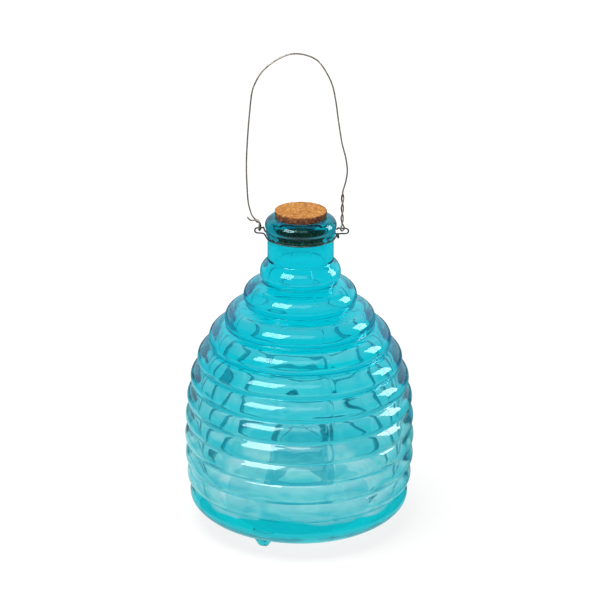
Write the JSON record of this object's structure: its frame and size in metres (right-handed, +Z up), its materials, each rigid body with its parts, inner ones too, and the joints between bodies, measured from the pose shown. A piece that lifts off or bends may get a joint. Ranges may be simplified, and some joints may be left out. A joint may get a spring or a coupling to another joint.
{
  "type": "glass fly trap",
  "caption": "Ribbed beehive glass fly trap with an entry funnel turned up into its base, small feet under it, a cork stopper in its neck and a wire bail to hang it by.",
  "frame": {"origin": "on the jar's axis, at the height of the flats under its feet", "axes": "+Z up along the jar's axis; +X along the bail's hinge axis, towards its long twist; the picture looks along +Y"},
  "size_m": [0.1306, 0.1306, 0.2769],
  "materials": {
    "glass": "gloss, turquoise through the glass",
    "cork": "matt, speckled agglomerated cork",
    "wire": "dull, weathered soft iron wire"
  },
  "bodies": {
    "jar": {"glass_jar": "glass", "neck_wire": "wire"},
    "stopper": {"cork_stopper": "cork"},
    "bail": {"bail_wire": "wire"}
  },
  "joints": [
    {"name": "cork_pull", "type": "slide", "parent": "jar", "child": "stopper", "axis": [0, 0, 1], "range_m": [0, 0.04]},
    {"name": "bail_swing", "type": "hinge", "parent": "jar", "child": "bail", "pos_m": [0, 0, 0.17646], "axis": [1, 0, 0], "range_deg": [-120, 120]}
  ]
}
